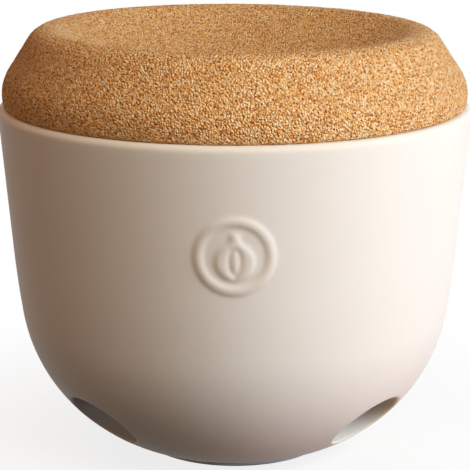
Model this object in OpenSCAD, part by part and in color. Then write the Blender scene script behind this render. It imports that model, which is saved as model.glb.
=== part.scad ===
// Garlic keeper: a vented stoneware pot on a foot ring, closed by a dished cork lid
// The medallion on the front faces -Y, and the foot ring stands on z = 0

/* [Pot] */
// Outer radius at the rim
rim_r = 70; // [66:0.5:76]
// Height of the rim above the table
rim_h = 104.2; // [98:0.1:112]
// Thickness of the stoneware wall and floor
wall = 6.5; // [5:0.25:8]
// Lean of the straight upper wall from the vertical, in degrees
wall_lean = 4.9; // [4:0.1:6]
// Length of the straight upper wall, along its slope
straight_len = 43; // [30:1:50]
// Radius of the flank between the straight wall and the belly
flank_r = 300; // [260:5:360]
// Radius of the belly
belly_r = 50.9; // [48:0.1:54]
// Radius of the heel between the belly and the sole
heel_r = 27.2; // [22:0.2:32]
// Radius at which the level sole ends and the heel begins
sole_r = 24.4; // [22:0.1:25]
// Height of the sole above the table
sole_h = 1.5; // [1.3:0.1:2.4]
// Rounding of the rim's two edges
rim_round = 1.8; // [1:0.1:2.5]

/* [Foot ring] */
// Outer radius of the foot ring
foot_r = 28.6; // [27:0.1:31]
// Width of the foot ring
foot_w = 5; // [3:0.25:6]
// Depth of the recess inside the foot ring
recess_h = 2.6; // [1.8:0.1:3.2]
// Rounding of the foot ring's edges
foot_round = 0.8; // [0.4:0.1:1]

/* [Vents] */
// Angle of each vent from the nearer of the front and the back, in degrees
vent_turn = 51.7; // [45:0.1:60]
// Radius of a vent
vent_r = 12.75; // [8:0.05:14]
// Height of a vent's middle on the outer face
vent_z = 14.9; // [14:0.1:20]
// Upward slope of a vent towards the inside, in degrees
vent_slope = 20; // [15:1:30]

/* [Medallion] */
// Outer radius of the raised ring
medal_r = 12.1; // [9:0.1:15]
// Width of the raised ring
medal_ring_w = 2.3; // [1.5:0.1:3]
// Height of the medallion's centre above the table
medal_z = 73.7; // [66:0.1:80]
// Height of the relief above the wall
relief = 0.9; // [0.5:0.1:1.5]
// Radius of the garlic bulb in the medallion
bulb_r = 5.8; // [5:0.1:6.2]
// Drop of the bulb's middle below the medallion's centre
bulb_drop = 1.6; // [1:0.1:2]
// Width of the bulb's neck
neck_w = 2.4; // [1.6:0.1:3]
// Height of the neck above the bulb's middle
neck_h = 8.6; // [8:0.1:9]
// Radius of the hollow between the neck and the bulb, on each side
shoulder_r = 3; // [2:0.1:3.6]
// How far that hollow reaches into the neck and the bulb
shoulder_lap = 0.3; // [0.2:0.05:0.5]
// Width of the grooves between the bulb's cloves
groove_w = 0.9; // [0.5:0.1:1.2]
// Radius of the grooves' bow
groove_bow = 7.5; // [6:0.1:9]
// Width of the middle clove
clove_w = 2.6; // [2:0.1:3.4]
// Height of the grooves' upper ends above the bulb's middle
groove_top = 4; // [3:0.1:4.5]

/* [Mouth] */
// Length of the straight mouth that the lid's plug fits
mouth_len = 12; // [8:0.5:16]
// Gap between the plug and the mouth, all round
mouth_gap = 0.4; // [0.3:0.05:0.8]

/* [Lid] */
// Radius of the lid at its widest
lid_r = 68.8; // [67:0.1:70.5]
// Radius of the bulging side
bulge_r = 12.4; // [9:0.1:16]
// Height of the widest place above the rim
bulge_h = 3.6; // [2.5:0.1:5]
// Radius of the circle along the top of the crest
crest_circle_r = 53.6; // [50:0.1:57]
// Rounding of the crest
crest_r = 7.2; // [5:0.1:8.5]
// Height of the crest above the rim
crest_h = 22.9; // [21:0.1:26]
// Depth of the dish below the crest
dish_depth = 14.5; // [10:0.1:16]
// Length of the plug below the rim
plug_len = 10; // [6:0.5:12]
// Rounding of the lid's lower edge
lid_edge = 1.2; // [0.6:0.1:2]
// Bevel at the foot of the plug
plug_bevel = 1.2; // [0.5:0.1:2]

/* [Hidden] */
$fn = 144;
arc_step = 4;
flat_step = 1;
edge_step = 15;
dish_step = 2;
past = 1;
glaze_colour = "#e9e1d6";
cork_colour = "#d3a468";

// Points along an arc about c from angle a to angle b, both ends included
function arc(c, r, a, b, step = arc_step) =
    let (n = max(1, ceil(abs(b - a) / step)))
    [for (i = [0:n]) c + r * [cos(a + (b - a) * i / n), sin(a + (b - a) * i / n)]];

// Angle of the direction from p to q
function bearing(p, q) = atan2(q[1] - p[1], q[0] - p[0]);

// Where circles of radii r and s about p and q meet, on the right of the way from p to q
function meet(p, r, q, s) =
    let (d = norm(q - p), along = (r * r - s * s + d * d) / (2 * d),
         off = sqrt(r * r - along * along), u = (q - p) / d)
    p + along * u + off * [u[1], -u[0]];

// Centres of the three arcs of the pot's outline, as radius and height
straight_end = [rim_r, rim_h] - straight_len * [sin(wall_lean), cos(wall_lean)];
flank_c = straight_end + flank_r * [-cos(wall_lean), sin(wall_lean)];
heel_c = [sole_r, sole_h + heel_r];
belly_c = meet(heel_c, belly_r - heel_r, flank_c, flank_r - belly_r);
heel_end = bearing(belly_c, heel_c);
belly_end = bearing(flank_c, belly_c);

// Outline of the pot's outer wall from the sole to the straight wall, set in by the given depth
function wall_line(depth) = concat(
    arc(heel_c, heel_r - depth, -90, heel_end),
    arc(belly_c, belly_r - depth, heel_end, belly_end),
    arc(flank_c, flank_r - depth, belly_end, -wall_lean, flat_step));

// Radius of the outer face at a height on the straight wall
function straight_r(z) = rim_r - (rim_h - z) * tan(wall_lean);

// Radius of the outer face at a height on the belly
function belly_face_r(z) = belly_c[0] + sqrt(belly_r * belly_r - pow(z - belly_c[1], 2));

// The mouth is as wide as the inner face is where the straight mouth ends
mouth_r = straight_r(rim_h - mouth_len) - wall / cos(wall_lean);
plug_r = mouth_r - mouth_gap;
cove_r = foot_r + foot_round;
cove_z = heel_c[1] - sqrt(pow(heel_r + foot_round, 2) - pow(cove_r - sole_r, 2));
cove_end = bearing([cove_r, cove_z], heel_c);

// Half of the pot's section: the foot ring, the outer wall, the rim, the mouth and the inner wall
module pot_section() {
    foot_in = foot_r - foot_w;
    rim_out = [straight_r(rim_h - rim_round) - rim_round / cos(wall_lean), rim_h - rim_round];
    rim_in = [mouth_r + rim_round, rim_h - rim_round];
    polygon(concat(
        [[0, recess_h], [foot_in, recess_h]],
        arc([foot_in + foot_round, foot_round], foot_round, 180, 270, edge_step),
        arc([foot_r - foot_round, foot_round], foot_round, -90, 0, edge_step),
        arc([cove_r, cove_z], foot_round, 180, cove_end, edge_step),
        [for (p = wall_line(0)) if (p[0] > cove_r) p],
        arc(rim_out, rim_round, -wall_lean, 90, edge_step),
        arc(rim_in, rim_round, 90, 180, edge_step),
        [[mouth_r, rim_h - mouth_len]],
        [for (i = [len(wall_line(wall)) - 1:-1:0]) wall_line(wall)[i]],
        [[0, sole_h + wall]]));
}

// Skin over the outer wall, as high as the relief stands and sunk a little into the wall
module relief_skin() {
    inner = wall_line(past);
    top_z = rim_h - rim_round;
    rotate_extrude()
        polygon(concat(
            wall_line(-relief),
            [[straight_r(top_z) + relief / cos(wall_lean), top_z]],
            [[straight_r(top_z) - past / cos(wall_lean), top_z]],
            [for (i = [len(inner) - 1:-1:0]) inner[i]]));
}

// A garlic bulb seen from the side: a round body whose hollow shoulders run up into a short neck
module bulb_shape() {
    hollow_x = neck_w / 2 + shoulder_r - shoulder_lap;
    hollow_y = sqrt(pow(bulb_r + shoulder_r - shoulder_lap, 2) - hollow_x * hollow_x);
    blank_w = 2 * hollow_x * bulb_r / (bulb_r + shoulder_r);
    circle(bulb_r);
    translate([-neck_w / 2, -neck_w])
        square([neck_w, neck_h + neck_w]);
    difference() {
        translate([-blank_w / 2, 0])
            square([blank_w, hollow_y]);
        for (side = [-1, 1])
            translate([side * hollow_x, hollow_y])
                circle(shoulder_r);
    }
}

// Two curved grooves that part the bulb into three cloves
module clove_grooves() {
    bow_x = groove_bow - groove_w - clove_w / 2;
    for (side = [-1, 1])
        translate([side * bow_x, 0])
            difference() {
                circle(groove_bow);
                circle(groove_bow - groove_w);
                translate([-groove_bow, groove_top])
                    square(2 * groove_bow);
            }
}

// Raised ring with a garlic bulb in it, following the curve of the wall
module medallion() {
    intersection() {
        relief_skin();
        translate([0, 0, medal_z])
            rotate([90, 0, 0])
                linear_extrude(rim_r + relief + past) {
                    difference() {
                        circle(medal_r);
                        circle(medal_r - medal_ring_w);
                    }
                    translate([0, -bulb_drop])
                        difference() {
                            bulb_shape();
                            clove_grooves();
                        }
                }
    }
}

// Round hole, bored inwards and upwards through the foot of the wall
module vent() {
    inwards = belly_face_r(vent_z);
    translate([0, -inwards, vent_z])
        rotate([90 + vent_slope, 0, 0])
            translate([0, 0, -inwards])
                cylinder(r = vent_r, h = inwards + 2 * wall);
}

module pot() {
    color(glaze_colour)
        difference() {
            union() {
                rotate_extrude()
                    pot_section();
                medallion();
            }
            for (face = [0, 180], side = [-1, 1])
                rotate(face + side * vent_turn)
                    vent();
        }
}

// Half of the lid's section, with z = 0 at the rim that it rests on
bulge_c = [lid_r - bulge_r, bulge_h];
crest_c = [crest_circle_r, crest_h - crest_r];
side_end = bearing(bulge_c, crest_c) - acos((bulge_r - crest_r) / norm(crest_c - bulge_c));
dish_low = crest_h - dish_depth;
dish_r = (pow(crest_circle_r, 2) + pow(crest_c[1] - dish_low, 2) - pow(crest_r, 2))
    / (2 * dish_depth);

module lid_section() {
    dish_c = [0, dish_low + dish_r];
    dish_end = bearing(dish_c, crest_c);
    edge_out = sqrt(pow(bulge_r - lid_edge, 2) - pow(bulge_h - lid_edge, 2));
    edge_c = [bulge_c[0] + edge_out, lid_edge];
    edge_end = bearing(bulge_c, edge_c);
    polygon(concat(
        [[0, -plug_len], [plug_r - plug_bevel, -plug_len], [plug_r, plug_bevel - plug_len]],
        [[plug_r, 0]],
        arc(edge_c, lid_edge, -90, edge_end, edge_step),
        arc(bulge_c, bulge_r, edge_end, side_end),
        arc(crest_c, crest_r, side_end, 180 + dish_end),
        arc(dish_c, dish_r, dish_end, -90, dish_step)));
}

module cork_lid() {
    color(cork_colour)
        translate([0, 0, rim_h])
            rotate_extrude()
                lid_section();
}

pot();
cork_lid();
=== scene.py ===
"""Garlic keeper: a glazed stoneware pot with round vents, closed by a dished cork lid.

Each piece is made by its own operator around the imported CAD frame, in metres.
"""

import math

import bmesh
import bpy
import numpy as np
from bpy.props import FloatProperty, FloatVectorProperty, IntProperty, PointerProperty
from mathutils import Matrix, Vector


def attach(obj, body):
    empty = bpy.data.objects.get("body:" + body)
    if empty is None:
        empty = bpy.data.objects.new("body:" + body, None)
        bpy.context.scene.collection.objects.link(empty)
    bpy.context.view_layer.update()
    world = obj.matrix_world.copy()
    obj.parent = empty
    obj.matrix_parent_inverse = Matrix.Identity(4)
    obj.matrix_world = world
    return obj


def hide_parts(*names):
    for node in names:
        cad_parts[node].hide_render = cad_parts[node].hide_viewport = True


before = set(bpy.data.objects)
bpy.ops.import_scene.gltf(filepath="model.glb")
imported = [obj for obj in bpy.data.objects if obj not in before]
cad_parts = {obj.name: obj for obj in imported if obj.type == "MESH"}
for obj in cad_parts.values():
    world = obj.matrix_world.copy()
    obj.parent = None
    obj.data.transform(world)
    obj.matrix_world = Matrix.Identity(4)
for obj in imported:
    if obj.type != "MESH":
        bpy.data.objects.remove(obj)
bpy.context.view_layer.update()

bl_info = {
    "name": "Garlic keeper",
    "version": (1, 0, 0),
    "blender": (4, 5, 0),
    "location": "View3D > Sidebar > Keeper",
    "description": "Builds a vented stoneware garlic keeper with a cork lid",
    "category": "Add Mesh",
}

BODY = "root"
MM = 0.001
QUARTER = math.pi / 2

# Rows and columns of the meshes
ON_AXIS, WELD, TOUCH = 1e-9, 1e-7, 1e-6
FINE_COLUMN, COLUMN = math.radians(0.25), math.radians(1.5)
HEEL_ROW, WALL_ROW, RELIEF_ROW = 1.0 * MM, 1.6 * MM, 0.28 * MM
INNER_ROW, FLOOR_ROW, MOUTH_ROW, FOOT_ROW = 2.2 * MM, 2.4 * MM, 2 * MM, 3 * MM
HEEL_START, LOWEST_OUT, LOWEST_IN = 0.2 * MM, 0.6 * MM, -3 * MM
LENGTH_STEPS = 4000
VENT_PHASES, HALVINGS = 72, 40
VENT_SEARCH = (-20 * MM, 25 * MM)  # along the hole, from its middle on the outer face
WINDOW_CELLS = 27
WINDOW_MARGIN = 5 * MM
WINDOW_SIDE = math.radians(3.2)
PATCH_RINGS = (0.86, 0.7, 0.52, 0.34, 0.18, 0.07, 0.0)
TUBE_RINGS = (0.25, 0.5, 0.75)
INNER_LIP = 0.7  # share of the outer lip's rounding
RELIEF_BORDER, RELIEF_REACH = 2 * MM, 2.5 * MM
NORMAL_STEP = 0.1 * MM

# How thin the glaze runs on edges, and the share of the foot's rounding that is bare clay
PATCH_THIN, OUTER_THIN, INNER_THIN, TUBE_THIN = 0.25, 0.8, 0.6, 0.3
RIM_THIN, RELIEF_THIN = 0.55, 0.35
BARE_HEIGHT = 0.55

# The garlic bulb of the medallion, in units of which the medallion's radius has 12.1
MEDAL_UNITS = 12.1
BULB_RADIUS, BULB_DROP = 5.8, 1.6
NECK_HALF, NECK_TOP, NECK_HOLLOW = 1.2, 8.6, 3.0
GROOVE_BOW, GROOVE_HALF, GROOVE_TOP, CLOVE_HALF = 7.5, 0.45, 4.0, 1.3

# Looks of the glaze: grains as size and contrast, bumps as strength and distance
GLAZE_CLOUD, GLAZE_MOTTLE, GLAZE_FINE = (0.035, 1.6), (0.0035, 1.4), (0.0006, 1.0)
GLAZE_DRIFT, MOTTLE_SHARE, POOL_SHARE, THIN_EVEN = 0.015, 0.18, 0.55, 0.5
GLOSS_DRIFT, CLAY_LIGHT, CLAY_ROUGH = 0.03, 1.3, 0.88
GLAZE_WAVE, GLAZE_SKIN = (0.10, 0.0004), (0.05, 0.0001)
GLAZE_IOR, GLAZE_SHINE = 1.45, 0.12

# Looks of the cork: ranges are those over which a joint, hole or pit begins; the darkening of the joints
# between crumbs and of the pinholes is painted shade
CORK_CLOUD, CORK_FINE = (0.03, 1.5), (0.0005, 1.0)
CORK_STOPS, CORK_BROWN = (0.08, 0.26, 0.48, 0.78), 0.8
DUST, CRUMB_SHARE, CLOUD_SHARE, JOINT_SHADE_SHARE = 2.1, 0.62, 0.25, 0.3
CRUMB_JOINT_SHADE, SHADED_HOLE_CHANCE, SHADED_HOLE_EDGE = (0.5, 0.95), (0.2, 0.4), (0.2, 0.48)
CRUMB_BUMP, FINE_BUMP = (1.0, 0.0009), (0.5, 0.00025)
CORK_ROUGH, CORK_SHINE = 0.8, 0.1
LUMP_JOINT, PIT_EDGE, PIT_SCALE = (0.1, 0.85), (0.60, 0.74), 0.6

# Stage
LAMP_PARTS = ("power", "colour", "turn", "rise", "width", "height")
LAMP_DISTANCE = 1.25
LAMP_AIM = (0, 0, 0.07)
SENSOR = 36.0
FLOOR_HALF, FLOOR_GAP = 6.0, 0.2 * MM
FLOOR_FADE, FLOOR_GLOW = (0.03, 0.16), (0.82, 1.0)
CARD_EDGE = (-0.02, 0.08)


# Properties

def length(name, text, default):
    return FloatProperty(name=name, description=text, default=default, unit="LENGTH", precision=5)


def angle(name, text, degrees):
    return FloatProperty(name=name, description=text, default=math.radians(degrees), subtype="ANGLE")


def colour(name, text, default):
    return FloatVectorProperty(name=name, description=text, default=default, subtype="COLOR", size=3,
                               min=0, max=1)


def share(name, text, default):
    return FloatProperty(name=name, description=text, default=default, min=0, max=1)


def lamp(key, text, turn, rise, size, power, tint):
    """The settings of one lamp, whose names start with the lamp's own."""
    name = key.capitalize()
    return {
        f"{key}_power": FloatProperty(name=name, description=f"Power of {text}", default=power, unit="POWER"),
        f"{key}_colour": colour(f"{name} colour", f"Colour of {text}", tint),
        f"{key}_turn": angle(f"{name} turn", f"Angle of {text} to the right of the front", turn),
        f"{key}_rise": angle(f"{name} elevation", f"Elevation of {text}", rise),
        f"{key}_width": length(f"{name} width", f"Width of {text}", size[0]),
        f"{key}_height": length(f"{name} height", f"Height of {text}", size[1]),
    }


class PotSettings(bpy.types.PropertyGroup):
    rim_radius: length("Rim radius", "Outer radius at the rim", 0.070)
    rim_height: length("Rim height", "Height of the rim above the table", 0.1042)
    wall: length("Wall", "Thickness of the stoneware", 0.0065)
    wall_lean: angle("Lean", "Lean of the straight upper wall from the vertical", 4.9)
    straight: length("Straight wall", "Length of the straight upper wall", 0.043)
    flank_radius: length("Flank radius", "Radius between the straight wall and the belly", 0.300)
    belly_radius: length("Belly radius", "Radius of the belly", 0.0509)
    heel_radius: length("Heel radius", "Radius between the belly and the sole", 0.0272)
    sole_radius: length("Sole radius", "Radius where the level sole ends", 0.0244)
    sole_height: length("Sole height", "Height of the sole above the table", 0.0015)
    rim_round: length("Rim rounding", "Rounding of the rim's two edges", 0.0018)
    mouth: length("Mouth", "Length of the straight mouth", 0.012)
    foot_radius: length("Foot radius", "Outer radius of the foot ring", 0.0286)
    foot_width: length("Foot width", "Width of the foot ring", 0.005)
    recess: length("Recess", "Depth of the recess inside the foot ring", 0.0026)
    foot_round: length("Foot rounding", "Rounding of the foot ring's edges", 0.0008)
    vent_turn: angle("Vent turn", "Angle of each vent from the nearer of front and back", 50.2)
    vent_radius: length("Vent radius", "Radius of a vent inside its rounded lip", 0.0119)
    vent_squash: share("Vent squash", "Height of a vent's opening as a share of its width", 0.87)
    vent_height: length("Vent height", "Height of a vent's middle on the outer face", 0.0149)
    vent_slope: angle("Vent slope", "Upward slope of a vent towards the inside", 28)
    vent_lip: length("Vent lip", "How far the glazed lip of a vent is rounded back", 0.0011)
    medal_radius: length("Medallion radius", "Radius half way up the raised ring's outer slope", 0.0109)
    medal_ring: length("Medallion ring", "Width of the raised ring", 0.0023)
    medal_height: length("Medallion height", "Height of the medallion's centre", 0.0741)
    relief: length("Relief", "Height of the relief above the wall", 0.0005)
    relief_soft: length("Relief softness", "Reach over which the glaze softens the relief's edges", 0.00055)
    glaze: colour("Glaze", "Colour of the glaze", (0.80, 0.757, 0.69))
    glaze_thin: colour("Thin glaze", "Colour where the glaze runs thin on an edge", (0.77, 0.68, 0.57))
    glaze_pool: colour("Pooled glaze", "Colour where the glaze gathers beside the relief", (0.77, 0.71, 0.63))
    clay: colour("Bare clay", "Colour of the unglazed foot", (0.56, 0.40, 0.26))
    gloss: share("Roughness", "Roughness of the satin glaze", 0.52)


class LidSettings(bpy.types.PropertyGroup):
    widest: length("Lid radius", "Radius of the lid at its widest", 0.0686)
    bulge_radius: length("Bulge radius", "Radius of the bulging side", 0.0124)
    bulge_height: length("Bulge height", "Height of the widest place above the rim", 0.0036)
    crest_circle: length("Crest circle", "Radius of the circle along the top of the crest", 0.0546)
    crest_radius: length("Crest radius", "Rounding of the crest", 0.0072)
    crest_height: length("Crest height", "Height of the crest above the rim", 0.0229)
    dish: length("Dish", "Depth of the dish below the crest", 0.0145)
    plug: length("Plug", "Length of the plug below the rim", 0.010)
    plug_bevel: length("Plug bevel", "Bevel at the foot of the plug", 0.0012)
    plug_gap: length("Plug gap", "Gap between the plug and the mouth", 0.0004)
    edge: length("Lower edge", "Rounding of the lid's lower edge", 0.0012)
    sag: share("Unevenness", "Share by which the right side of the lid is lower than the left", 0.03)
    crumb: length("Crumb", "Size of a crumb of pressed cork", 0.00062)
    # Painted shade: the pinholes are darker colour in the cork, not holes in the mesh
    hole: length("Hole spacing", "Spacing of the dark pinholes between crumbs", 0.0009)
    lump: length("Lump", "Size of a clump of crumbs", 0.0014)
    lump_depth: length("Lump depth", "Depth of the joints between the clumps", 0.00016)
    pit_depth: length("Pit depth", "Depth of the pits where a crumb fell out", 0.00022)
    seed: IntProperty(name="Seed", description="Seed of the crumbs", default=7)
    cork_light: colour("Light cork", "Colour of the light crumbs", (1.0, 0.80, 0.50))
    cork_mid: colour("Cork", "Colour of most crumbs", (1.0, 0.52, 0.175))
    # Besides the darkest crumbs' own colour, this is the painted shade of the joints between crumbs and of
    # the pinholes
    cork_dark_and_shade: colour("Dark cork", "Colour of the dark crumbs", (0.45, 0.12, 0.014))


class StageSettings(bpy.types.PropertyGroup):
    distance: length("Camera distance", "Distance from the camera to the aim", 0.560)
    rise: angle("Camera elevation", "Elevation of the camera", 13.91)
    aim: length("Aim height", "Height of the point that the camera looks at", 0.06343)
    lens: FloatProperty(name="Lens", description="Focal length for a 36 mm frame, in mm", default=142.0)
    sideways: FloatProperty(name="Sideways", description="Sideways shift of the frame", default=0.0006,
                            precision=5)
    room: colour("Room", "Light that comes from the room all round", (0.010, 0.006, 0.004))
    floor: colour("Floor", "Colour of the floor", (0.90, 0.90, 0.90))
    bounce: colour("Bounce", "Colour that the floor throws back at the pot", (0.03, 0.02, 0.015))
    card: colour("Card", "Colour that the floor throws back on the right, as a warm card there would",
                 (0.70, 0.44, 0.28))


LAMPS = {
    "key": lamp("key", "the low light on the right", 72, 5, (0.6, 0.5), 10.5, (0.51, 0.66, 1.0)),
    "window": lamp("window", "the higher light on the right", 50, 37, (1.0, 0.5), 15.0, (0.955, 1.0, 0.945)),
    "fill": lamp("fill", "the high warm light on the left", -60, 60, (0.8, 0.8), 3.0, (1.0, 0.50, 0.22)),
    "front": lamp("front", "the weak light near the camera", -25, 24, (0.6, 0.3), 0.7, (1.0, 0.72, 0.58)),
    "left": lamp("left", "the low light on the left", -60, 8, (0.6, 0.4), 1.3, (1.0, 0.76, 0.62)),
    "back": lamp("back", "the light behind the pot", 180, 5, (0.4, 0.5), 8.0, (1.0, 0.96, 0.92)),
}
for lamp_settings in LAMPS.values():
    StageSettings.__annotations__.update(lamp_settings)


# The pot's form

def bearing(p, q):
    return math.atan2(q[1] - p[1], q[0] - p[0])


def arc(centre, radius, start, end, count):
    turns = np.linspace(start, end, count + 1)
    return np.c_[centre[0] + radius * np.cos(turns), centre[1] + radius * np.sin(turns)]


def stretch(start, end, step):
    """Even places from start up to but not at end, about a step apart."""
    return np.linspace(start, end, max(2, int(math.ceil(abs(end - start) / step)) + 1))[:-1]


class Wall:
    """The pot's wall, where a place is a length along the outer face and a depth below it."""

    def __init__(self, pot):
        self.pot = pot
        self.tilt = -pot.wall_lean
        down = np.array([math.sin(pot.wall_lean), math.cos(pot.wall_lean)])
        self.straight_end = np.array([pot.rim_radius, pot.rim_height]) - pot.straight * down
        out = np.array([math.cos(self.tilt), math.sin(self.tilt)])
        self.flank = self.straight_end - pot.flank_radius * out
        self.heel = np.array([pot.sole_radius, pot.sole_height + pot.heel_radius])
        near, far = pot.belly_radius - pot.heel_radius, pot.flank_radius - pot.belly_radius
        way = self.flank - self.heel
        gap = np.linalg.norm(way)
        along = (near**2 - far**2 + gap**2) / (2 * gap)
        off = math.sqrt(near**2 - along**2)
        way = way / gap
        self.belly = self.heel + along * way + off * np.array([way[1], -way[0]])
        self.turns = [-QUARTER, bearing(self.belly, self.heel), bearing(self.flank, self.belly), self.tilt]
        self.arcs = [(self.heel, pot.heel_radius), (self.belly, pot.belly_radius),
                     (self.flank, pot.flank_radius)]
        spans = [r * (b - a) for (_, r), a, b in zip(self.arcs, self.turns, self.turns[1:])]
        self.marks = np.concatenate([[0.0], np.cumsum(spans)])

    def at(self, u, depth):
        """Radius and height at lengths u along the outer face, set in by depth."""
        u = np.asarray(u, float)
        spot = np.stack([self.pot.sole_radius + u, np.full_like(u, self.pot.sole_height + depth)], -1)
        for (centre, radius), low, turn in zip(self.arcs, self.marks, self.turns):
            a = turn + (u - low) / radius
            here = centre + (radius - depth) * np.stack([np.cos(a), np.sin(a)], -1)
            spot = np.where((u >= low)[..., None], here, spot)
        up = np.array([-math.sin(self.tilt), math.cos(self.tilt)])
        out = np.array([math.cos(self.tilt), math.sin(self.tilt)])
        here = self.straight_end + (u - self.marks[3])[..., None] * up - depth * out
        return np.where((u >= self.marks[3])[..., None], here, spot)

    def length_at(self, z, top):
        """Length along the outer face at a height, up to the length top."""
        u = np.linspace(0, top, LENGTH_STEPS)
        return float(np.interp(z, self.at(u, 0)[:, 1], u))

    def find(self, spot):
        """Length along the outer face and depth of places given as radius and height."""
        q = np.asarray(spot, float)
        u = q[..., 0] - self.pot.sole_radius
        depth = q[..., 1] - self.pot.sole_height
        over = q[..., 0] > self.pot.sole_radius
        for (centre, radius), low, turn in zip(self.arcs, self.marks, self.turns):
            a = np.arctan2(q[..., 1] - centre[1], q[..., 0] - centre[0])
            over = over & (a >= turn)
            u = np.where(over, low + (a - turn) * radius, u)
            depth = np.where(over, radius - np.linalg.norm(q - centre, axis=-1), depth)
        return u, depth

    def face_radius(self, z):
        """Radius of the outer face at a height on the belly."""
        return self.belly[0] + math.sqrt(self.pot.belly_radius**2 - (z - self.belly[1]) ** 2)


def relief_edge(pot, x, y):
    """Distance outside the edge of the ring and the bulb, negative on them, at x and y from the centre."""
    ring_middle = pot.medal_radius - pot.medal_ring / 2
    ring = np.abs(np.hypot(x, y) - ring_middle) - pot.medal_ring / 2
    unit = pot.medal_radius / MEDAL_UNITS
    bulb_r, drop, neck, neck_top, hollow = (
        v * unit for v in (BULB_RADIUS, BULB_DROP, NECK_HALF, NECK_TOP, NECK_HOLLOW))
    bow, groove, clove, groove_top = (v * unit for v in (GROOVE_BOW, GROOVE_HALF, CLOVE_HALF, GROOVE_TOP))
    side, v = np.abs(x), y + drop
    hollow_x = neck + hollow
    hollow_y = math.sqrt((bulb_r + hollow) ** 2 - hollow_x**2)
    blank = hollow_x * bulb_r / (bulb_r + hollow)
    block = np.maximum(side - blank, np.maximum(v - hollow_y, -v))
    block = np.maximum(block, hollow - np.hypot(side - hollow_x, v - hollow_y))
    stem = np.maximum(side - neck, np.maximum(v - neck_top, -v))
    body = np.minimum(np.hypot(side, v) - bulb_r, np.minimum(block, stem))
    bow_x = bow - 2 * groove - clove
    cut = np.abs(np.hypot(side + bow_x, v) - bow + groove)
    cut = np.maximum(cut - groove, v - groove_top)
    body = np.maximum(body, -cut)
    return np.minimum(ring, body)


def relief_height(pot, x, y):
    """Height of the relief, softened as glaze softens it, and of the glaze gathered beside it."""
    rise, total = np.zeros_like(x), 0.0
    steps = np.linspace(-2, 2, 9)  # in widths of the softening
    for across in steps:
        for up in steps:
            weight = math.exp(-(across**2 + up**2) / 2)
            edge = relief_edge(pot, x + across * pot.relief_soft, y + up * pot.relief_soft)
            rise += weight * np.clip(0.5 - edge / pot.relief_soft, 0, 1)
            total += weight
    edge = relief_edge(pot, x, y)
    pool = np.exp(-(((edge - pot.relief_soft) / pot.relief_soft) ** 2))
    return pot.relief * rise / total, pool


class Shell:
    """Vertices, faces and the marks painted on the vertices, gathered for one mesh."""

    def __init__(self, marks):
        self.points, self.faces, self.count = [], [], 0
        self.marks = {name: [] for name in marks}

    def add(self, points, **marks):
        points = np.asarray(points, float).reshape(-1, 3)
        start = self.count
        self.points.append(points)
        self.count += len(points)
        for name, values in self.marks.items():
            values.append(np.broadcast_to(marks.get(name, 0.0), (len(points),)).astype(float))
        return np.arange(start, self.count)

    def row(self, r, z, columns, **marks):
        """A ring of vertices at a radius and height, or on the axis one vertex for all columns."""
        if r < ON_AXIS:
            return np.repeat(self.add([[0, 0, z]], **marks), len(columns))
        return self.add(around(r, z, columns), **marks)

    def net(self, grid, hole):
        """Faces between the rows of a closed grid, except where hole is set."""
        after = np.roll(grid, -1, axis=1)
        for i, j in np.argwhere(~hole):
            corners = (grid[i, j], after[i, j], after[i + 1, j], grid[i + 1, j])
            corners = list(dict.fromkeys(int(c) for c in corners))
            if len(corners) > 2:
                self.faces.append(corners)

    def band(self, low, high):
        """Faces between two closed rings of as many vertices."""
        a, b = np.roll(low, -1), np.roll(high, -1)
        self.faces += np.stack([low, a, b, high], -1).tolist()

    def object(self, name):
        """A closed, smooth mesh object of the vertices that the faces use."""
        points = np.concatenate(self.points)
        used = np.zeros(len(points), bool)
        used[[i for f in self.faces for i in f]] = True
        new = np.cumsum(used) - 1
        mesh = bpy.data.meshes.new(name)
        mesh.from_pydata(points[used].tolist(), [], [[int(new[i]) for i in f] for f in self.faces])
        for mark, values in self.marks.items():
            layer = mesh.attributes.new(mark, "FLOAT", "POINT")
            layer.data.foreach_set("value", np.concatenate(values)[used].astype(np.float32))
        work = bmesh.new()
        work.from_mesh(mesh)
        bmesh.ops.remove_doubles(work, verts=work.verts, dist=WELD)
        bmesh.ops.recalc_face_normals(work, faces=work.faces)
        work.to_mesh(mesh)
        work.free()
        mesh.shade_smooth()
        piece = bpy.data.objects.new(name, mesh)
        bpy.context.scene.collection.objects.link(piece)
        return piece


def around(radius, height, turn):
    """Points at a radius and height, turned from the front towards +X."""
    return np.stack([radius * np.sin(turn), -radius * np.cos(turn), height + 0 * turn], -1)


class Vent:
    """A sloping round hole through the wall, as rings between its two faces."""

    def __init__(self, wall, turn):
        pot = wall.pot
        self.wall, self.turn = wall, turn
        self.middle = around(wall.face_radius(pot.vent_height), pot.vent_height, np.array(turn))
        slope = pot.vent_slope
        level = math.cos(slope)
        self.inwards = np.array([-math.sin(turn) * level, math.cos(turn) * level, math.sin(slope)])
        self.side = np.array([math.cos(turn), math.sin(turn), 0.0])
        self.up = np.cross(self.side, self.inwards)

    def locate(self, points):
        """Turn, length along the outer face and depth of points."""
        turn = np.arctan2(points[..., 0], -points[..., 1])
        turn = self.turn + (turn - self.turn + math.pi) % (2 * math.pi) - math.pi
        u, depth = self.wall.find(np.stack([np.hypot(points[..., 0], points[..., 1]), points[..., 2]], -1))
        return turn, u, depth

    def cut(self, phase, depth):
        """Where the hole's side meets the face that lies at a depth, at each phase round the hole."""
        r = self.wall.pot.vent_radius
        squash = self.wall.pot.vent_squash
        across, upwards = np.cos(phase)[:, None] * self.side, squash * np.sin(phase)[:, None] * self.up
        base = self.middle + r * (across + upwards)
        low, high = (np.full(len(phase), end) for end in VENT_SEARCH)
        for _ in range(HALVINGS):
            mid = (low + high) / 2
            deeper = self.locate(base + mid[:, None] * self.inwards)[2] > depth
            low, high = np.where(deeper, low, mid), np.where(deeper, mid, high)
        return base + high[:, None] * self.inwards

    def phase(self, points):
        """Angle round the hole at which points lie."""
        off = points - self.middle
        return np.arctan2(off @ self.up / self.wall.pot.vent_squash, off @ self.side)


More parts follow.
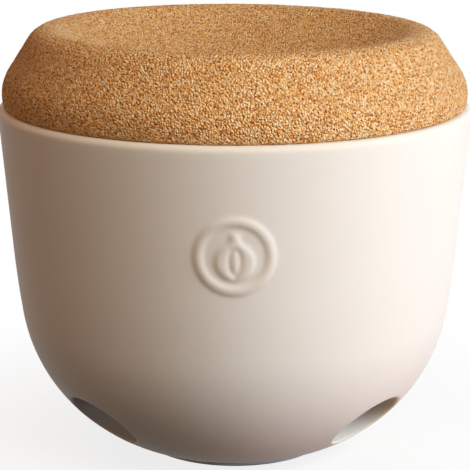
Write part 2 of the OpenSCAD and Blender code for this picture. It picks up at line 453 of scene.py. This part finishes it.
def shell_points(wall, turn, u, depth):
    """Points at turns round the pot, lengths along its outer face and a depth below it."""
    spot = wall.at(u, depth)
    return around(spot[..., 0], spot[..., 1], turn)


def lay_patch(shell, vent, depth, corner, window, window_turn, window_u, lip):
    """Rings from a window's edge in to where the lip of the hole begins, and the innermost of them."""
    turn, u, _ = vent.locate(corner)
    edge = shell_points(vent.wall, window_turn, window_u, depth)
    start = lip / np.maximum(np.linalg.norm(edge - corner, axis=-1), lip)
    previous = window
    for outwards in PATCH_RINGS:
        t = start + (1 - start) * outwards
        points = shell_points(vent.wall, turn + (window_turn - turn) * t, u + (window_u - u) * t, depth)
        ring = shell.add(points, thin=max(0.0, PATCH_THIN - outwards))
        shell.band(previous, ring)
        previous = ring
    return points, ring


def bend(start, corner, end, count):
    """Points of a rounded corner, without its two ends."""
    for s in np.linspace(0, 1, count + 2)[1:-1]:
        yield (1 - s) ** 2 * start + 2 * s * (1 - s) * corner + s * s * end


def line_vent(shell, vent, turn, lengths, edges):
    """Fills a vent's window on both faces and rounds the lips into the tube between them."""
    wall, lip = vent.wall, vent.wall.pot.vent_lip
    phase = vent.phase(shell_points(wall, turn, lengths[0], 0.0))
    corner_out, corner_in = vent.cut(phase, 0.0), vent.cut(phase, wall.pot.wall)
    lip_out, ring_out = lay_patch(shell, vent, 0.0, corner_out, edges[0], turn, lengths[0], lip)
    lip_in, ring_in = lay_patch(shell, vent, wall.pot.wall, corner_in, edges[1], turn, lengths[1],
                                lip * INNER_LIP)
    through = corner_in - corner_out
    deep = np.linalg.norm(through, axis=-1)[:, None]
    tube_out = corner_out + through * (lip / deep)
    tube_in = corner_in - through * (lip * INNER_LIP / deep)
    rings = [(p, OUTER_THIN) for p in bend(lip_out, corner_out, tube_out, 5)] + [(tube_out, TUBE_THIN)]
    rings += [(tube_out + (tube_in - tube_out) * s, 0.0) for s in TUBE_RINGS]
    rings += [(tube_in, TUBE_THIN)] + [(p, INNER_THIN) for p in bend(tube_in, corner_in, lip_in, 4)]
    previous = ring_out
    for points, thin in rings:
        ring = shell.add(points, thin=thin)
        shell.band(previous, ring)
        previous = ring
    shell.band(previous, ring_in)


def border(rows, columns):
    """Row and column numbers once round the border of a grid."""
    last, far = rows - 1, columns - 1
    walk = [(0, k) for k in range(columns)]
    walk += [(k, far) for k in range(1, rows)]
    walk += [(last, k) for k in range(far - 1, -1, -1)]
    walk += [(k, 0) for k in range(last - 1, 0, -1)]
    return np.array(walk).T


def mouth_radius(pot):
    """Inner radius of the straight mouth."""
    return pot.rim_radius - pot.mouth * math.tan(pot.wall_lean) - pot.wall / math.cos(pot.wall_lean)


def foot_rows(pot, wall):
    """Radius and height from the middle round the foot ring, and the length where the wall begins."""
    soft, inner, outer = pot.foot_round, pot.foot_radius - pot.foot_width, pot.foot_radius
    cove_r = outer + soft
    cove_z = wall.heel[1] - math.sqrt((pot.heel_radius + soft) ** 2 - (cove_r - pot.sole_radius) ** 2)
    cove_turn = bearing((cove_r, cove_z), wall.heel)
    end = (cove_r + soft * math.cos(cove_turn), cove_z + soft * math.sin(cove_turn))
    level = stretch(0, inner - soft, FOOT_ROW)
    rows = np.concatenate([
        np.c_[level, np.full(len(level), pot.recess)],
        arc((inner - soft, pot.recess - soft), soft, QUARTER, 0, 5),
        arc((inner + soft, soft), soft, 2 * QUARTER, 3 * QUARTER, 5),
        np.c_[np.linspace(inner + 2 * soft, outer - 2 * soft, 3), np.zeros(3)],
        arc((outer - soft, soft), soft, -QUARTER, 0, 5),
        arc((cove_r, cove_z), soft, 2 * QUARTER, cove_turn, 6)])
    return rows, float(wall.find(end)[0])


def rim_rows(pot, wall):
    """Radius and height over the rim from outside to inside, and the length where the wall ends."""
    soft, low = pot.rim_round, pot.rim_height - pot.rim_round
    outer_r = pot.rim_radius - soft * math.tan(pot.wall_lean)
    outer = np.array([outer_r - soft / math.cos(pot.wall_lean), low])
    inner = (mouth_radius(pot) + soft, low)
    start = outer + soft * np.array([math.cos(wall.tilt), math.sin(wall.tilt)])
    rows = np.concatenate([arc(outer, soft, wall.tilt, QUARTER, 7)[1:],
                           arc(inner, soft, QUARTER, 2 * QUARTER, 7)])
    return rows, float(wall.find(start)[0])


def relief_row(shell, wall, u, columns):
    """A row of the outer face, with the medallion's relief where it crosses it."""
    pot, spot = wall.pot, wall.at(u, 0.0)
    normal = (spot - wall.at(u, NORMAL_STEP)) / NORMAL_STEP
    x, y = spot[0] * np.sin(columns), spot[1] - pot.medal_height
    rise, pool = relief_height(pot, x, np.full_like(x, y))
    near = (np.cos(columns) > 0) & (abs(y) < pot.medal_radius + RELIEF_REACH)
    rise, pool = np.where(near, rise, 0), np.where(near, pool, 0)
    points = around(spot[0] + rise * normal[0], spot[1] + rise * normal[1], columns)
    return shell.add(points, pool=pool, thin=np.clip(rise / pot.relief, 0, 1) * RELIEF_THIN)


def build_pot(pot):
    wall = Wall(pot)
    shell = Shell(("thin", "pool", "bare"))
    vents = [Vent(wall, face + side * pot.vent_turn) for face in (0.0, math.pi) for side in (-1, 1)]
    foot, foot_u = foot_rows(pot, wall)
    rim, rim_u = rim_rows(pot, wall)

    # Columns, closer together across the medallion
    medal_reach = pot.medal_radius + RELIEF_BORDER
    medal_turn = medal_reach / wall.at(wall.marks[3], 0)[0]
    columns = np.concatenate([
        stretch(-math.pi, -medal_turn, COLUMN),
        stretch(-medal_turn, medal_turn, FINE_COLUMN),
        stretch(medal_turn, math.pi, COLUMN)])

    # Windows round a vent: their reach to either side, and two lengths on each face
    phases = np.linspace(0, 2 * math.pi, VENT_PHASES + 1)[:-1]
    reaches = [vents[1].locate(vents[1].cut(phases, depth)) for depth in (0.0, pot.wall)]
    half = max(np.abs(turn - vents[1].turn).max() for turn, _, _ in reaches) + WINDOW_SIDE
    window_out, window_in = (
        (max(lowest, u.min() - WINDOW_MARGIN), u.max() + WINDOW_MARGIN)
        for lowest, (_, u, _) in zip((foot_u + LOWEST_OUT, LOWEST_IN), reaches))

    # Rows of the two faces, as lengths along the outer one
    medal = [wall.length_at(pot.medal_height + side * medal_reach, rim_u) for side in (-1, 1)]
    rows_out = np.concatenate([
        stretch(foot_u + HEEL_START, window_out[0], HEEL_ROW),
        np.linspace(*window_out, WINDOW_CELLS + 1)[:-1],
        stretch(window_out[1], medal[0], WALL_ROW),
        stretch(*medal, RELIEF_ROW),
        stretch(medal[1], rim_u, WALL_ROW), [rim_u]])
    mouth_r, mouth_z = mouth_radius(pot), pot.rim_height - pot.mouth
    rows_in = np.concatenate([
        stretch(float(wall.find((mouth_r, mouth_z))[0]), window_in[1], INNER_ROW),
        np.linspace(window_in[1], window_in[0], WINDOW_CELLS + 1)[:-1],
        stretch(window_in[0], -pot.sole_radius, FLOOR_ROW)])

    # Every row of the section, from under the foot over the rim to the middle of the floor
    grid = [shell.row(r, z, columns, bare=float(z < BARE_HEIGHT * pot.foot_round)) for r, z in foot]
    first_out = len(grid)
    grid += [relief_row(shell, wall, u, columns) for u in rows_out]
    grid += [shell.row(r, z, columns, thin=RIM_THIN) for r, z in rim]
    mouth_rows = stretch(pot.rim_height - pot.rim_round, mouth_z, MOUTH_ROW)[1:]
    grid += [shell.row(mouth_r, z, columns) for z in mouth_rows]
    first_in = len(grid)
    grid += [shell.row(*wall.at(u, pot.wall), columns) for u in rows_in]
    grid.append(shell.row(0.0, pot.sole_height + pot.wall, columns))
    grid = np.array(grid)

    # The vents, in windows left open in the grid
    hole = np.zeros((len(grid) - 1, len(columns)), bool)
    low_out = first_out + int(np.argmin(np.abs(rows_out - window_out[0])))
    high_in = first_in + int(np.argmin(np.abs(rows_in - window_in[1])))
    ids_out = np.arange(low_out, low_out + WINDOW_CELLS + 1)
    ids_in = np.arange(high_in + WINDOW_CELLS, high_in - 1, -1)
    u_out, u_in = (np.linspace(*window, WINDOW_CELLS + 1) for window in (window_out, window_in))
    for vent in vents:
        off = (columns - vent.turn + math.pi) % (2 * math.pi) - math.pi
        picked = np.array([j for j in np.argsort(off) if abs(off[j]) <= half])
        for ids in (ids_out, ids_in):
            hole[ids.min():ids.max(), picked[:-1]] = True
        a, b = border(WINDOW_CELLS + 1, len(picked))
        edges = (grid[ids_out[a], picked[b]], grid[ids_in[a], picked[b]])
        line_vent(shell, vent, vent.turn + off[picked[b]], (u_out[a], u_in[a]), edges)
    shell.net(grid, hole)
    return shell.object("pot_glazed")


# The lid's form

def lid_rows(lid, mouth_r, rim_height):
    """Radius and height from under the plug, round the side and over the crest to the dish's middle."""
    plug_r = mouth_r - lid.plug_gap
    bulge = np.array([lid.widest - lid.bulge_radius, lid.bulge_height])
    crest = np.array([lid.crest_circle, lid.crest_height - lid.crest_radius])
    low = lid.crest_height - lid.dish
    dish_r = (lid.crest_circle**2 + (crest[1] - low) ** 2 - lid.crest_radius**2) / (2 * lid.dish)
    dish = np.array([0.0, low + dish_r])
    apart = np.linalg.norm(crest - bulge)
    side_end = bearing(bulge, crest) - math.acos((lid.bulge_radius - lid.crest_radius) / apart)
    reach = math.sqrt((lid.bulge_radius - lid.edge) ** 2 - (lid.bulge_height - lid.edge) ** 2)
    edge = np.array([bulge[0] + reach, lid.edge])
    edge_end, dish_end = bearing(bulge, edge), bearing(dish, crest)
    side = arc(bulge, lid.bulge_radius, edge_end, side_end, 17)
    over = arc(crest, lid.crest_radius, side_end, math.pi + dish_end, 15)
    slant = side[-1] + (over[0] - side[-1]) * np.linspace(0, 1, 9)[1:-1, None]
    under, bevel_top = plug_r - lid.plug_bevel, lid.plug_bevel - lid.plug
    bevel_border, side_foot, side_top, seat = 0.5 * MM, 0.4 * MM, 0.3 * MM, 0.4 * MM
    rows = np.concatenate([
        np.c_[np.linspace(0, under - bevel_border, 9), np.full(9, -lid.plug)],
        [[under, -lid.plug], [plug_r, bevel_top]],
        np.c_[np.full(5, plug_r), np.linspace(bevel_top + side_foot, -side_top, 5)],
        [[plug_r, 0.0], [plug_r + seat, 0.0]],
        arc(edge, lid.edge, -QUARTER, edge_end, 4)[:-1],
        side, slant, over,
        arc(dish, dish_r, dish_end, -QUARTER, 34)[1:]])
    return rows + [0, rim_height]


def build_lid(lid, pot):
    shell = Shell(("bed",))
    columns = stretch(-math.pi, math.pi, COLUMN)
    grid = []
    for r, z in lid_rows(lid, mouth_radius(pot), pot.rim_height):
        # The crumbs leave what lies on the rim and inside the pot as it is
        bed = 0.0 if r < ON_AXIS or z > pot.rim_height + TOUCH else 1.0
        grid.append(shell.row(r, z, columns, bed=bed))
        points = shell.points[-1]
        drop = lid.sag * (points[:, 0] + lid.crest_circle) / (2 * lid.crest_circle)
        points[:, 2] -= max(0.0, z - pot.rim_height) * np.clip(drop, 0, 1)
    shell.net(np.array(grid), np.zeros((len(grid) - 1, len(columns)), bool))
    return shell.object("cork_lid_crumbs")


# Node trees

def put(tree, kind, inputs=None, **settings):
    """A node with its settings and its inputs, where an input is a value or another node's output."""
    made = tree.nodes.new(kind)
    for key, value in settings.items():
        setattr(made, key, value)
    for key, value in (inputs or {}).items():
        if isinstance(value, bpy.types.NodeSocket):
            tree.links.new(value, made.inputs[key])
        else:
            made.inputs[key].default_value = value
    return made


def math_of(tree, operation, *values):
    """The result of one sum on values and outputs."""
    return put(tree, "ShaderNodeMath", dict(enumerate(values)), operation=operation).outputs[0]


def map_of(tree, value, before, after, kind="LINEAR"):
    """A value carried from one range to another and held within it."""
    limits = dict(enumerate((*before, *after), 1))
    return put(tree, "ShaderNodeMapRange", {"Value": value, **limits}, interpolation_type=kind).outputs[0]


def blend_of(tree, factor, *pair):
    """The first colour of a pair turned towards the second."""
    a, b = (c if isinstance(c, bpy.types.NodeSocket) else (*c, 1) for c in pair)
    return put(tree, "ShaderNodeMix", {0: factor, 6: a, 7: b}, data_type="RGBA").outputs[2]


def ramp_of(tree, factor, stops):
    """A colour from a row of stops, each a place and a colour."""
    made = put(tree, "ShaderNodeValToRGB", {0: factor})
    band = made.color_ramp
    while len(band.elements) < len(stops):
        band.elements.new(0.5)
    for element, (place, tint) in zip(band.elements, stops):
        element.position, element.color = place, (*tint, 1)
    return made.outputs[0]


def add_sockets(tree, way, **kinds):
    """Sockets of a node group, where a kind may come with its default value."""
    for key, kind in kinds.items():
        kind, default = kind if isinstance(kind, tuple) else (kind, None)
        name = key.replace("_", " ")
        made = tree.interface.new_socket(name=name, in_out=way, socket_type=f"NodeSocket{kind}")
        if default is not None:
            made.default_value = default
    return tree.nodes.new("NodeGroupInput" if way == "INPUT" else "NodeGroupOutput")


def grain_group():
    """Fine cloudy grain that both finishes use: a mask and a height, of a given size."""
    group = bpy.data.node_groups.new("Fine grain", "ShaderNodeTree")
    came = add_sockets(group, "INPUT", Vector="Vector", Size=("Float", 0.01), Contrast=("Float", 1.0))
    goes = add_sockets(group, "OUTPUT", Mask="Float", Height="Float")
    scale = math_of(group, "DIVIDE", 1.0, came.outputs["Size"])
    noise = put(group, "ShaderNodeTexNoise", {"Vector": came.outputs["Vector"], "Scale": scale,
                                              "Detail": 4.0, "Roughness": 0.55})
    level = math_of(group, "SUBTRACT", noise.outputs[0], 0.5)
    level = math_of(group, "MULTIPLY", level, came.outputs["Contrast"])
    level = put(group, "ShaderNodeClamp", {"Value": math_of(group, "ADD", level, 0.5)}).outputs[0]
    group.links.new(level, goes.inputs["Mask"])
    group.links.new(noise.outputs[0], goes.inputs["Height"])
    return group


def blank_tree(owner):
    """The emptied node tree of a material or a world."""
    owner.use_nodes = True
    owner.node_tree.nodes.clear()
    return owner.node_tree


def new_material(name):
    material = bpy.data.materials.new(name)
    tree = blank_tree(material)
    shader = tree.nodes.new("ShaderNodeBsdfPrincipled")
    end = tree.nodes.new("ShaderNodeOutputMaterial")
    tree.links.new(shader.outputs[0], end.inputs["Surface"])
    return material, tree, shader


def grain_of(tree, group, vector, look):
    """Mask and height of the grain, with a look of size and contrast."""
    made = put(tree, "ShaderNodeGroup", node_tree=group)
    tree.links.new(vector, made.inputs["Vector"])
    made.inputs["Size"].default_value, made.inputs["Contrast"].default_value = look
    return made.outputs["Mask"], made.outputs["Height"]


def bump_of(tree, height, look, normal=None, invert=False):
    """A normal that follows a height, with a look of strength and distance."""
    made = put(tree, "ShaderNodeBump", {"Strength": look[0], "Distance": look[1], "Height": height},
               invert=invert)
    if normal is not None:
        tree.links.new(normal, made.inputs["Normal"])
    return made.outputs[0]


def mark_of(tree, name):
    """A mark that is painted on the mesh."""
    return put(tree, "ShaderNodeAttribute", attribute_name=name).outputs["Fac"]


def glaze_material(pot, grain):
    """Glaze that is mottled, thinner on edges, gathered beside the relief and absent from the foot."""
    material, tree, shader = new_material("Satin cream glaze")
    place = put(tree, "ShaderNodeTexCoord").outputs["Object"]
    cloud, _ = grain_of(tree, grain, place, GLAZE_CLOUD)
    mottle, peel = grain_of(tree, grain, place, GLAZE_MOTTLE)
    _, fine = grain_of(tree, grain, place, GLAZE_FINE)
    dull, bright = ([min(1, c * (1 + drift)) for c in pot.glaze] for drift in (-GLAZE_DRIFT, GLAZE_DRIFT))
    tint = blend_of(tree, cloud, dull, bright)
    tint = blend_of(tree, math_of(tree, "MULTIPLY", mottle, MOTTLE_SHARE), tint, pot.glaze_pool)
    pool = math_of(tree, "MULTIPLY", mark_of(tree, "pool"), POOL_SHARE)
    tint = blend_of(tree, pool, tint, pot.glaze_pool)
    uneven = math_of(tree, "ADD", math_of(tree, "MULTIPLY", mottle, 1 - THIN_EVEN), THIN_EVEN)
    thin = math_of(tree, "MULTIPLY", mark_of(tree, "thin"), uneven)
    tint = blend_of(tree, thin, tint, pot.glaze_thin)
    bare = mark_of(tree, "bare")
    clay = blend_of(tree, mottle, pot.clay, [c * CLAY_LIGHT for c in pot.clay])
    tint = blend_of(tree, bare, tint, clay)
    tree.links.new(tint, shader.inputs["Base Color"])
    rough = map_of(tree, cloud, (0, 1), (pot.gloss - GLOSS_DRIFT, pot.gloss + GLOSS_DRIFT))
    rough = put(tree, "ShaderNodeMix", {0: bare, 2: rough, 3: CLAY_ROUGH}, data_type="FLOAT").outputs[0]
    tree.links.new(rough, shader.inputs["Roughness"])
    wave = bump_of(tree, peel, GLAZE_WAVE)
    tree.links.new(bump_of(tree, fine, GLAZE_SKIN, wave), shader.inputs["Normal"])
    shader.inputs["IOR"].default_value = GLAZE_IOR
    shader.inputs["Specular IOR Level"].default_value = GLAZE_SHINE
    return material


def cork_material(lid, grain):
    """Crumbs and dust of several shades, with painted shade in the joints between crumbs and in scattered
    pinholes.
    """
    material, tree, shader = new_material("Pressed cork")
    place = put(tree, "ShaderNodeTexCoord").outputs["Object"]
    crumbs, dust, shaded_hole_cells = (
        put(tree, "ShaderNodeTexVoronoi", {"Vector": place, "Scale": scale}).outputs
        for scale in (1 / lid.crumb, DUST / lid.crumb, 1 / lid.hole))
    pick, small, chance = (
        put(tree, "ShaderNodeSeparateColor", {0: cells["Color"]}).outputs[channel]
        for cells, channel in ((crumbs, 0), (dust, 1), (shaded_hole_cells, 2)))
    level = math_of(tree, "ADD", math_of(tree, "MULTIPLY", pick, CRUMB_SHARE),
                    math_of(tree, "MULTIPLY", small, 1 - CRUMB_SHARE))
    shades = (lid.cork_dark_and_shade, [c * CORK_BROWN for c in lid.cork_mid], lid.cork_mid, lid.cork_light)
    tint = ramp_of(tree, level, list(zip(CORK_STOPS, shades)))
    cloud, _ = grain_of(tree, grain, place, CORK_CLOUD)
    tint = blend_of(tree, math_of(tree, "MULTIPLY", cloud, CLOUD_SHARE), tint, lid.cork_mid)
    # Painted shade: the crevices between crumbs are darkened towards the dark cork colour
    joint = map_of(tree, crumbs["Distance"], CRUMB_JOINT_SHADE, (0.0, JOINT_SHADE_SHARE))
    tint = blend_of(tree, joint, tint, lid.cork_dark_and_shade)
    # Painted shade: scattered pinholes are darkened towards the dark cork colour
    rare = map_of(tree, chance, SHADED_HOLE_CHANCE, (0.0, 1.0))
    hole = map_of(tree, shaded_hole_cells["Distance"], SHADED_HOLE_EDGE, (1.0, 0.0))
    tint = blend_of(tree, math_of(tree, "MULTIPLY", hole, rare), tint, lid.cork_dark_and_shade)
    tree.links.new(tint, shader.inputs["Base Color"])
    shader.inputs["Roughness"].default_value = CORK_ROUGH
    shader.inputs["Specular IOR Level"].default_value = CORK_SHINE
    _, fine = grain_of(tree, grain, place, CORK_FINE)
    rounded = bump_of(tree, crumbs["Distance"], CRUMB_BUMP, invert=True)
    tree.links.new(bump_of(tree, fine, FINE_BUMP, rounded), shader.inputs["Normal"])
    return material


def crumb_tree():
    """Presses the joints between clumps of crumbs, and pits, into a smooth surface."""
    tree = bpy.data.node_groups.new("Cork crumbs", "GeometryNodeTree")
    came = add_sockets(tree, "INPUT", Geometry="Geometry", Lump_Size="Float", Lump_Depth="Float",
                       Pit_Depth="Float", Seed="Int", Material="Material")
    goes = add_sockets(tree, "OUTPUT", Geometry="Geometry")
    finer = put(tree, "GeometryNodeSubdivideMesh", {"Mesh": came.outputs["Geometry"], "Level": 1})
    place = put(tree, "GeometryNodeInputPosition").outputs[0]
    scale = math_of(tree, "DIVIDE", 1.0, came.outputs["Lump Size"])
    lumps = put(tree, "ShaderNodeTexVoronoi", {"Vector": place, "Scale": scale})
    joint = map_of(tree, lumps.outputs["Distance"], LUMP_JOINT, (0.0, 1.0))
    joint = math_of(tree, "MULTIPLY", joint, came.outputs["Lump Depth"])
    wide = math_of(tree, "MULTIPLY", scale, PIT_SCALE)
    noise = put(tree, "ShaderNodeTexNoise", {"W": came.outputs["Seed"], "Vector": place, "Scale": wide,
                                             "Detail": 1.0}, noise_dimensions="4D")
    pit = map_of(tree, noise.outputs[0], PIT_EDGE, (0.0, 1.0))
    pit = math_of(tree, "MULTIPLY", pit, came.outputs["Pit Depth"])
    bed = put(tree, "GeometryNodeInputNamedAttribute", {"Name": "bed"}, data_type="FLOAT")
    free = math_of(tree, "SUBTRACT", 1.0, bed.outputs["Attribute"])
    dip = math_of(tree, "MULTIPLY", math_of(tree, "ADD", joint, pit), free)
    normal = put(tree, "GeometryNodeInputNormal").outputs[0]
    inwards = math_of(tree, "MULTIPLY", dip, -1.0)
    offset = put(tree, "ShaderNodeVectorMath", {0: normal, "Scale": inwards}, operation="SCALE").outputs[0]
    moved = put(tree, "GeometryNodeSetPosition", {"Geometry": finer.outputs[0], "Offset": offset})
    smooth = put(tree, "GeometryNodeSetShadeSmooth", {"Geometry": moved.outputs[0]})
    real = put(tree, "GeometryNodeRealizeInstances", {"Geometry": smooth.outputs[0]})
    dressed = put(tree, "GeometryNodeSetMaterial", {"Geometry": real.outputs[0],
                                                    "Material": came.outputs["Material"]})
    tree.links.new(dressed.outputs[0], goes.inputs[0])
    return tree


def apply_tree(piece, tree, **values):
    """Runs the tree on the piece with its named inputs and leaves a plain mesh."""
    modifier = piece.modifiers.new(tree.name, "NODES")
    modifier.node_group = tree
    for item in tree.interface.items_tree:
        key = item.name.replace(" ", "_").lower()
        if item.in_out == "INPUT" and key in values:
            modifier[item.identifier] = values[key]
    bpy.context.view_layer.update()
    depsgraph = bpy.context.evaluated_depsgraph_get()
    mesh = bpy.data.meshes.new_from_object(piece.evaluated_get(depsgraph), depsgraph=depsgraph)
    piece.modifiers.remove(modifier)
    mesh.name = piece.name
    piece.data = mesh


def shared_grain():
    return bpy.data.node_groups.get("Fine grain") or grain_group()


# Operators

class KEEPER_OT_pot(bpy.types.Operator):
    """Make the glazed pot with its foot ring, vents, medallion and rim"""

    bl_idname = "keeper.pot"
    bl_label = "Glazed pot"

    def execute(self, context):
        pot = context.scene.keeper_pot
        piece = build_pot(pot)
        piece.data.materials.append(glaze_material(pot, shared_grain()))
        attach(piece, BODY)
        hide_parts("pot")
        return {"FINISHED"}


class KEEPER_OT_lid(bpy.types.Operator):
    """Make the dished cork lid with its crumbs and pits"""

    bl_idname = "keeper.lid"
    bl_label = "Cork lid"

    def execute(self, context):
        lid = context.scene.keeper_lid
        piece = build_lid(lid, context.scene.keeper_pot)
        apply_tree(piece, crumb_tree(), lump_size=lid.lump, lump_depth=lid.lump_depth,
                   pit_depth=lid.pit_depth, seed=lid.seed, material=cork_material(lid, shared_grain()))
        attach(piece, BODY)
        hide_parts("cork_lid")
        return {"FINISHED"}


def polar(distance, turn, rise):
    """A place seen from the middle of the pot, turned from the front towards +X."""
    level = distance * math.cos(rise)
    return level * math.sin(turn), -level * math.cos(turn), distance * math.sin(rise)


def face_to(item, place, aim):
    """Puts a camera or lamp at a place, looking at the aim."""
    item.location = place
    item.rotation_euler = (Vector(aim) - Vector(place)).to_track_quat("-Z", "Y").to_euler()
    bpy.context.scene.collection.objects.link(item)


def area_light(name, power, tint, turn, rise, width, height):
    light = bpy.data.lights.new(name, "AREA")
    light.shape, light.size, light.size_y = "RECTANGLE", width, height
    light.energy, light.color = power, tint
    face_to(bpy.data.objects.new(name, light), polar(LAMP_DISTANCE, turn, rise), LAMP_AIM)


def seen_directly(tree):
    """1 for rays from the camera and for reflected and refracted views of the background."""
    path = put(tree, "ShaderNodeLightPath").outputs
    seen = math_of(tree, "MAXIMUM", path["Is Camera Ray"], path["Is Glossy Ray"])
    return math_of(tree, "MAXIMUM", seen, path["Is Transmission Ray"])


def make_camera(stage):
    camera = bpy.data.objects.new("camera", bpy.data.cameras.new("camera"))
    camera.data.lens, camera.data.sensor_width = stage.lens, SENSOR
    camera.data.shift_x = stage.sideways
    aim = Vector((0, 0, stage.aim))
    face_to(camera, aim + Vector(polar(stage.distance, 0.0, stage.rise)), aim)
    bpy.context.scene.camera = camera


def floor_material(stage):
    """Near to white where it is seen, and of the colours thrown back at the pot for other rays."""
    material = bpy.data.materials.new("Pale floor")
    tree = blank_tree(material)
    place = put(tree, "ShaderNodeTexCoord").outputs["Object"]
    far = put(tree, "ShaderNodeVectorMath", {0: place}, operation="LENGTH").outputs["Value"]
    far = map_of(tree, far, FLOOR_FADE, FLOOR_GLOW, "SMOOTHSTEP")
    seen = seen_directly(tree)
    right = put(tree, "ShaderNodeSeparateXYZ", {0: place}).outputs["X"]
    right = map_of(tree, right, CARD_EDGE, (0.0, 1.0))
    thrown = blend_of(tree, right, stage.bounce, stage.card)
    surface = put(tree, "ShaderNodeBsdfDiffuse", {"Color": blend_of(tree, seen, thrown, stage.floor)})
    white = put(tree, "ShaderNodeEmission", {"Color": (1, 1, 1, 1), "Strength": 1.0})
    glow = math_of(tree, "MULTIPLY", far, seen)
    both = put(tree, "ShaderNodeMixShader", {0: glow, 1: surface.outputs[0], 2: white.outputs[0]})
    tree.links.new(both.outputs[0], put(tree, "ShaderNodeOutputMaterial").inputs[0])
    return material


def make_floor(stage):
    mesh = bpy.data.meshes.new("floor")
    corners = [(x * FLOOR_HALF, y * FLOOR_HALF, 0) for x, y in ((-1, -1), (1, -1), (1, 1), (-1, 1))]
    mesh.from_pydata(corners, [], [(0, 1, 2, 3)])
    mesh.materials.append(floor_material(stage))
    floor = bpy.data.objects.new("floor", mesh)
    floor.location = (0, 0, -FLOOR_GAP)
    bpy.context.scene.collection.objects.link(floor)


def make_room(stage):
    """White where the background is seen, and the room's weak light for other rays."""
    world = bpy.data.worlds.new("room")
    bpy.context.scene.world = world
    tree = blank_tree(world)
    room = put(tree, "ShaderNodeBackground", {"Color": (*stage.room, 1), "Strength": 1.0})
    white = put(tree, "ShaderNodeBackground", {"Color": (1, 1, 1, 1), "Strength": 1.0})
    both = put(tree, "ShaderNodeMixShader", {0: seen_directly(tree), 1: room.outputs[0], 2: white.outputs[0]})
    tree.links.new(both.outputs[0], put(tree, "ShaderNodeOutputWorld").inputs[0])


class KEEPER_OT_stage(bpy.types.Operator):
    """Make the camera, the lamps, the pale floor and the room's light"""

    bl_idname = "keeper.stage"
    bl_label = "Stage"

    def execute(self, context):
        stage = context.scene.keeper_stage
        make_camera(stage)
        for name in LAMPS:
            area_light(name, *(getattr(stage, f"{name}_{part}") for part in LAMP_PARTS))
        make_floor(stage)
        make_room(stage)
        context.scene.view_settings.view_transform = "Standard"
        return {"FINISHED"}


class KEEPER_PT_panel(bpy.types.Panel):
    bl_idname = "KEEPER_PT_panel"
    bl_label = "Garlic keeper"
    bl_space_type = "VIEW_3D"
    bl_region_type = "UI"
    bl_category = "Keeper"

    def draw(self, context):
        for operator in OPERATORS:
            self.layout.operator(operator.bl_idname)
        for group in GROUPS:
            settings = getattr(context.scene, group)
            for name in settings.__annotations__:
                self.layout.prop(settings, name)


OPERATORS = (KEEPER_OT_pot, KEEPER_OT_lid, KEEPER_OT_stage)
GROUPS = {"keeper_pot": PotSettings, "keeper_lid": LidSettings, "keeper_stage": StageSettings}


def register():
    for cls in (*GROUPS.values(), *OPERATORS, KEEPER_PT_panel):
        bpy.utils.register_class(cls)
    for name, cls in GROUPS.items():
        setattr(bpy.types.Scene, name, PointerProperty(type=cls))


def unregister():
    for name in GROUPS:
        delattr(bpy.types.Scene, name)
    for cls in (KEEPER_PT_panel, *reversed(OPERATORS), *reversed(list(GROUPS.values()))):
        bpy.utils.unregister_class(cls)


def main():
    register()
    bpy.ops.keeper.stage()
    bpy.ops.keeper.pot()
    bpy.ops.keeper.lid()


if __name__ == "__main__":
    main()
